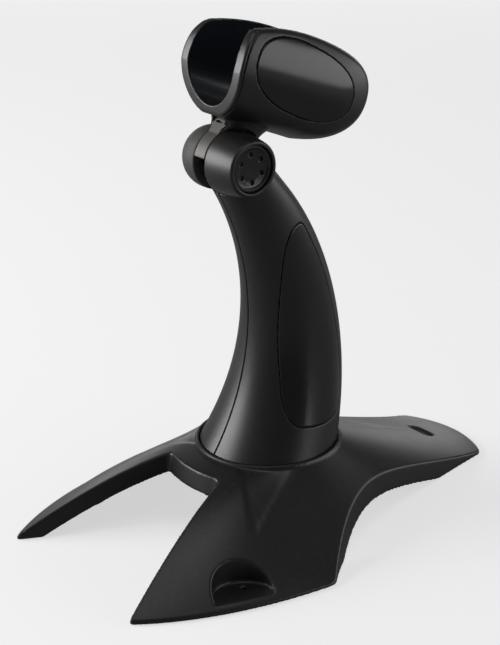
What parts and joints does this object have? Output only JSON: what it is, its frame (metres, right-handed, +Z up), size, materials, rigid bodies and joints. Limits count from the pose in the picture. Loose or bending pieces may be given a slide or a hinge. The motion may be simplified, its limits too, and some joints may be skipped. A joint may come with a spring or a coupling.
{
  "type": "barcode scanner stand",
  "caption": "Hands-free stand for a handheld barcode scanner: arched three-foot base, curved column and a tilting U-shaped cradle on a friction hinge.",
  "frame": {"origin": "middle of the floor area under the stand, on the floor", "axes": "+Z up, -Y the front where the scanner looks out, +X to the right of the stand"},
  "size_m": [0.1724, 0.2716, 0.2656],
  "materials": {
    "shell": "satin black moulded plastic, fine grain",
    "gloss": "polished black plastic",
    "tongue": "satin dark grey-brown plastic",
    "dome": "matte speckled black plastic",
    "rubber": "matt black rubber",
    "steel": "zinc plated steel"
  },
  "bodies": {
    "stand": {"base_shell": "shell", "column_left": "shell", "column_right": "shell", "hinge_disc": "shell", "column_inlay_left": "gloss", "column_inlay_right": "gloss", "hinge_dome": "dome", "foot_pad_1": "rubber", "foot_pad_2": "rubber", "foot_pad_3": "rubber", "foot_pad_4": "rubber", "foot_pad_5": "rubber", "foot_pad_6": "rubber", "clamp_plate": "steel", "base_screw_1": "steel", "base_screw_2": "steel", "base_screw_3": "steel", "base_screw_4": "steel", "column_screw_1": "steel", "column_screw_2": "steel", "column_screw_3": "steel", "pivot_bolt": "steel", "pivot_nut": "steel", "friction_washer_left": "steel", "friction_washer_right": "steel"},
    "cradle": {"cradle_shell": "shell", "cradle_tongue": "tongue", "cradle_liner": "gloss", "cradle_inlay_left": "gloss", "cradle_inlay_right": "gloss", "liner_screw_1": "steel", "liner_screw_2": "steel"}
  },
  "joints": [
    {"name": "cradle_tilt", "type": "hinge", "parent": "stand", "child": "cradle", "pos_m": [0, -0.03724, 0.1999], "axis": [1, 0, 0], "range_deg": [-10, 50]}
  ]
}
